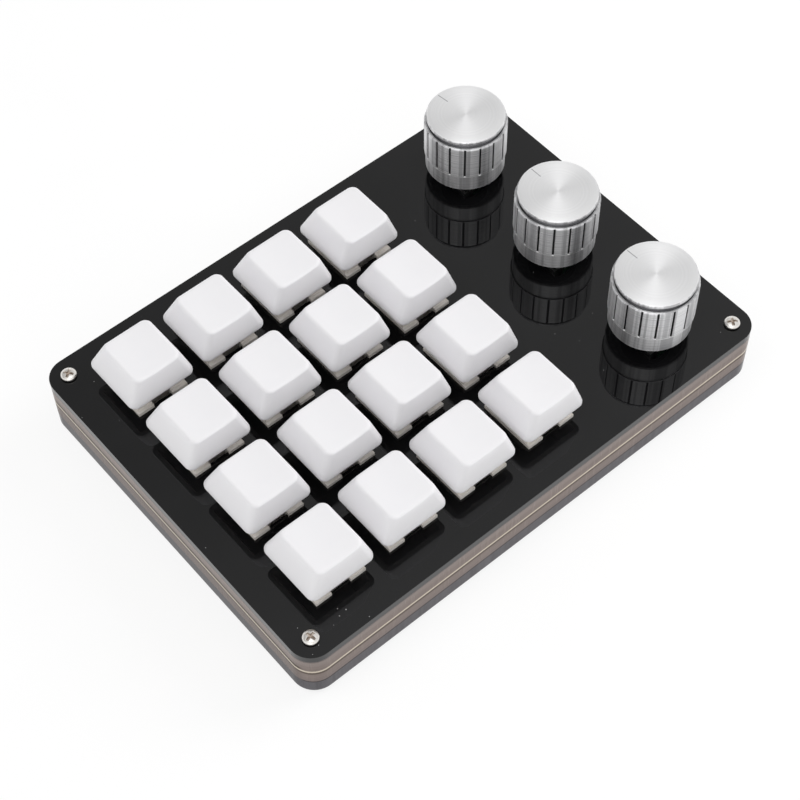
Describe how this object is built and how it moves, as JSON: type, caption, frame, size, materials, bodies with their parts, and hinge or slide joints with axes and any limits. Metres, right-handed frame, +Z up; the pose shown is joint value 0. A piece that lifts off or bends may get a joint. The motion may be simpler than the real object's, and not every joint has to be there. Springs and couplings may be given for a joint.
{
  "type": "macro keypad with knobs",
  "caption": "Desk keypad with a square grid of blank mechanical keys and a column of push knobs on a layered, screwed acrylic case.",
  "frame": {"origin": "centre of the case's footprint, on the surface that the rubber feet stand on", "axes": "+X to the user's right, towards the knobs; +Y away from the user; +Z up"},
  "size_m": [0.142, 0.1036, 0.0384],
  "materials": {
    "keycap": "satin white",
    "stem": "satin blue",
    "housing": "satin cream",
    "knob": "turned, with a brushed top",
    "plate": "mirror gloss black",
    "spacer": "gloss smoke brown",
    "bottom": "gloss dark grey",
    "screws": "nickel plated",
    "steel": "satin",
    "brass": "satin",
    "black_plastic": "matt",
    "rubber": "matt",
    "board": "solder mask"
  },
  "bodies": {
    "case": {"top_plate": "plate", "upper_spacer": "spacer", "lower_spacer": "spacer", "bottom_plate": "bottom", "case_screws": "screws", "standoffs": "brass", "rubber_feet": "rubber", "switch_lower_housings": "housing", "switch_upper_housings": "housing", "switch_springs": "steel", "switch_contacts": "brass", "encoder_frames": "steel", "encoder_cases": "black_plastic", "circuit_board": "board", "board_components": "black_plastic", "usb_socket": "steel"},
    "key_r1c1": {"keycap_r1c1": "keycap", "switch_stem_r1c1": "stem"},
    "key_r1c2": {"keycap_r1c2": "keycap", "switch_stem_r1c2": "stem"},
    "key_r1c3": {"keycap_r1c3": "keycap", "switch_stem_r1c3": "stem"},
    "key_r1c4": {"keycap_r1c4": "keycap", "switch_stem_r1c4": "stem"},
    "key_r2c1": {"keycap_r2c1": "keycap", "switch_stem_r2c1": "stem"},
    "key_r2c2": {"keycap_r2c2": "keycap", "switch_stem_r2c2": "stem"},
    "key_r2c3": {"keycap_r2c3": "keycap", "switch_stem_r2c3": "stem"},
    "key_r2c4": {"keycap_r2c4": "keycap", "switch_stem_r2c4": "stem"},
    "key_r3c1": {"keycap_r3c1": "keycap", "switch_stem_r3c1": "stem"},
    "key_r3c2": {"keycap_r3c2": "keycap", "switch_stem_r3c2": "stem"},
    "key_r3c3": {"keycap_r3c3": "keycap", "switch_stem_r3c3": "stem"},
    "key_r3c4": {"keycap_r3c4": "keycap", "switch_stem_r3c4": "stem"},
    "key_r4c1": {"keycap_r4c1": "keycap", "switch_stem_r4c1": "stem"},
    "key_r4c2": {"keycap_r4c2": "keycap", "switch_stem_r4c2": "stem"},
    "key_r4c3": {"keycap_r4c3": "keycap", "switch_stem_r4c3": "stem"},
    "key_r4c4": {"keycap_r4c4": "keycap", "switch_stem_r4c4": "stem"},
    "rotor_back": {"encoder_rotor_back": "black_plastic"},
    "knob_back": {"knob_cap_back": "knob", "knob_insert_back": "black_plastic", "encoder_shaft_back": "steel"},
    "rotor_middle": {"encoder_rotor_middle": "black_plastic"},
    "knob_middle": {"knob_cap_middle": "knob", "knob_insert_middle": "black_plastic", "encoder_shaft_middle": "steel"},
    "rotor_front": {"encoder_rotor_front": "black_plastic"},
    "knob_front": {"knob_cap_front": "knob", "knob_insert_front": "black_plastic", "encoder_shaft_front": "steel"}
  },
  "joints": [
    {"name": "press_key_r1c1", "type": "slide", "parent": "case", "child": "key_r1c1", "axis": [0, 0, -1], "range_m": [0, 0.004], "stiffness_N_per_m": 74, "springref_m": -0.004, "deforming": ["switch_springs"]},
    {"name": "press_key_r1c2", "type": "slide", "parent": "case", "child": "key_r1c2", "axis": [0, 0, -1], "range_m": [0, 0.004], "stiffness_N_per_m": 74, "springref_m": -0.004, "deforming": ["switch_springs"]},
    {"name": "press_key_r1c3", "type": "slide", "parent": "case", "child": "key_r1c3", "axis": [0, 0, -1], "range_m": [0, 0.004], "stiffness_N_per_m": 74, "springref_m": -0.004, "deforming": ["switch_springs"]},
    {"name": "press_key_r1c4", "type": "slide", "parent": "case", "child": "key_r1c4", "axis": [0, 0, -1], "range_m": [0, 0.004], "stiffness_N_per_m": 74, "springref_m": -0.004, "deforming": ["switch_springs"]},
    {"name": "press_key_r2c1", "type": "slide", "parent": "case", "child": "key_r2c1", "axis": [0, 0, -1], "range_m": [0, 0.004], "stiffness_N_per_m": 74, "springref_m": -0.004, "deforming": ["switch_springs"]},
    {"name": "press_key_r2c2", "type": "slide", "parent": "case", "child": "key_r2c2", "axis": [0, 0, -1], "range_m": [0, 0.004], "stiffness_N_per_m": 74, "springref_m": -0.004, "deforming": ["switch_springs"]},
    {"name": "press_key_r2c3", "type": "slide", "parent": "case", "child": "key_r2c3", "axis": [0, 0, -1], "range_m": [0, 0.004], "stiffness_N_per_m": 74, "springref_m": -0.004, "deforming": ["switch_springs"]},
    {"name": "press_key_r2c4", "type": "slide", "parent": "case", "child": "key_r2c4", "axis": [0, 0, -1], "range_m": [0, 0.004], "stiffness_N_per_m": 74, "springref_m": -0.004, "deforming": ["switch_springs"]},
    {"name": "press_key_r3c1", "type": "slide", "parent": "case", "child": "key_r3c1", "axis": [0, 0, -1], "range_m": [0, 0.004], "stiffness_N_per_m": 74, "springref_m": -0.004, "deforming": ["switch_springs"]},
    {"name": "press_key_r3c2", "type": "slide", "parent": "case", "child": "key_r3c2", "axis": [0, 0, -1], "range_m": [0, 0.004], "stiffness_N_per_m": 74, "springref_m": -0.004, "deforming": ["switch_springs"]},
    {"name": "press_key_r3c3", "type": "slide", "parent": "case", "child": "key_r3c3", "axis": [0, 0, -1], "range_m": [0, 0.004], "stiffness_N_per_m": 74, "springref_m": -0.004, "deforming": ["switch_springs"]},
    {"name": "press_key_r3c4", "type": "slide", "parent": "case", "child": "key_r3c4", "axis": [0, 0, -1], "range_m": [0, 0.004], "stiffness_N_per_m": 74, "springref_m": -0.004, "deforming": ["switch_springs"]},
    {"name": "press_key_r4c1", "type": "slide", "parent": "case", "child": "key_r4c1", "axis": [0, 0, -1], "range_m": [0, 0.004], "stiffness_N_per_m": 74, "springref_m": -0.004, "deforming": ["switch_springs"]},
    {"name": "press_key_r4c2", "type": "slide", "parent": "case", "child": "key_r4c2", "axis": [0, 0, -1], "range_m": [0, 0.004], "stiffness_N_per_m": 74, "springref_m": -0.004, "deforming": ["switch_springs"]},
    {"name": "press_key_r4c3", "type": "slide", "parent": "case", "child": "key_r4c3", "axis": [0, 0, -1], "range_m": [0, 0.004], "stiffness_N_per_m": 74, "springref_m": -0.004, "deforming": ["switch_springs"]},
    {"name": "press_key_r4c4", "type": "slide", "parent": "case", "child": "key_r4c4", "axis": [0, 0, -1], "range_m": [0, 0.004], "stiffness_N_per_m": 74, "springref_m": -0.004, "deforming": ["switch_springs"]},
    {"name": "turn_knob_back", "type": "hinge", "parent": "case", "child": "rotor_back", "pos_m": [0.0499, 0.03385, 0.03], "axis": [0, 0, 1], "continuous": true},
    {"name": "press_knob_back", "type": "slide", "parent": "rotor_back", "child": "knob_back", "axis": [0, 0, -1], "range_m": [0, 0.0005], "stiffness_N_per_m": 1000, "springref_m": -0.002},
    {"name": "turn_knob_middle", "type": "hinge", "parent": "case", "child": "rotor_middle", "pos_m": [0.0499, 0, 0.03], "axis": [0, 0, 1], "continuous": true},
    {"name": "press_knob_middle", "type": "slide", "parent": "rotor_middle", "child": "knob_middle", "axis": [0, 0, -1], "range_m": [0, 0.0005], "stiffness_N_per_m": 1000, "springref_m": -0.002},
    {"name": "turn_knob_front", "type": "hinge", "parent": "case", "child": "rotor_front", "pos_m": [0.0499, -0.03385, 0.03], "axis": [0, 0, 1], "continuous": true},
    {"name": "press_knob_front", "type": "slide", "parent": "rotor_front", "child": "knob_front", "axis": [0, 0, -1], "range_m": [0, 0.0005], "stiffness_N_per_m": 1000, "springref_m": -0.002}
  ]
}
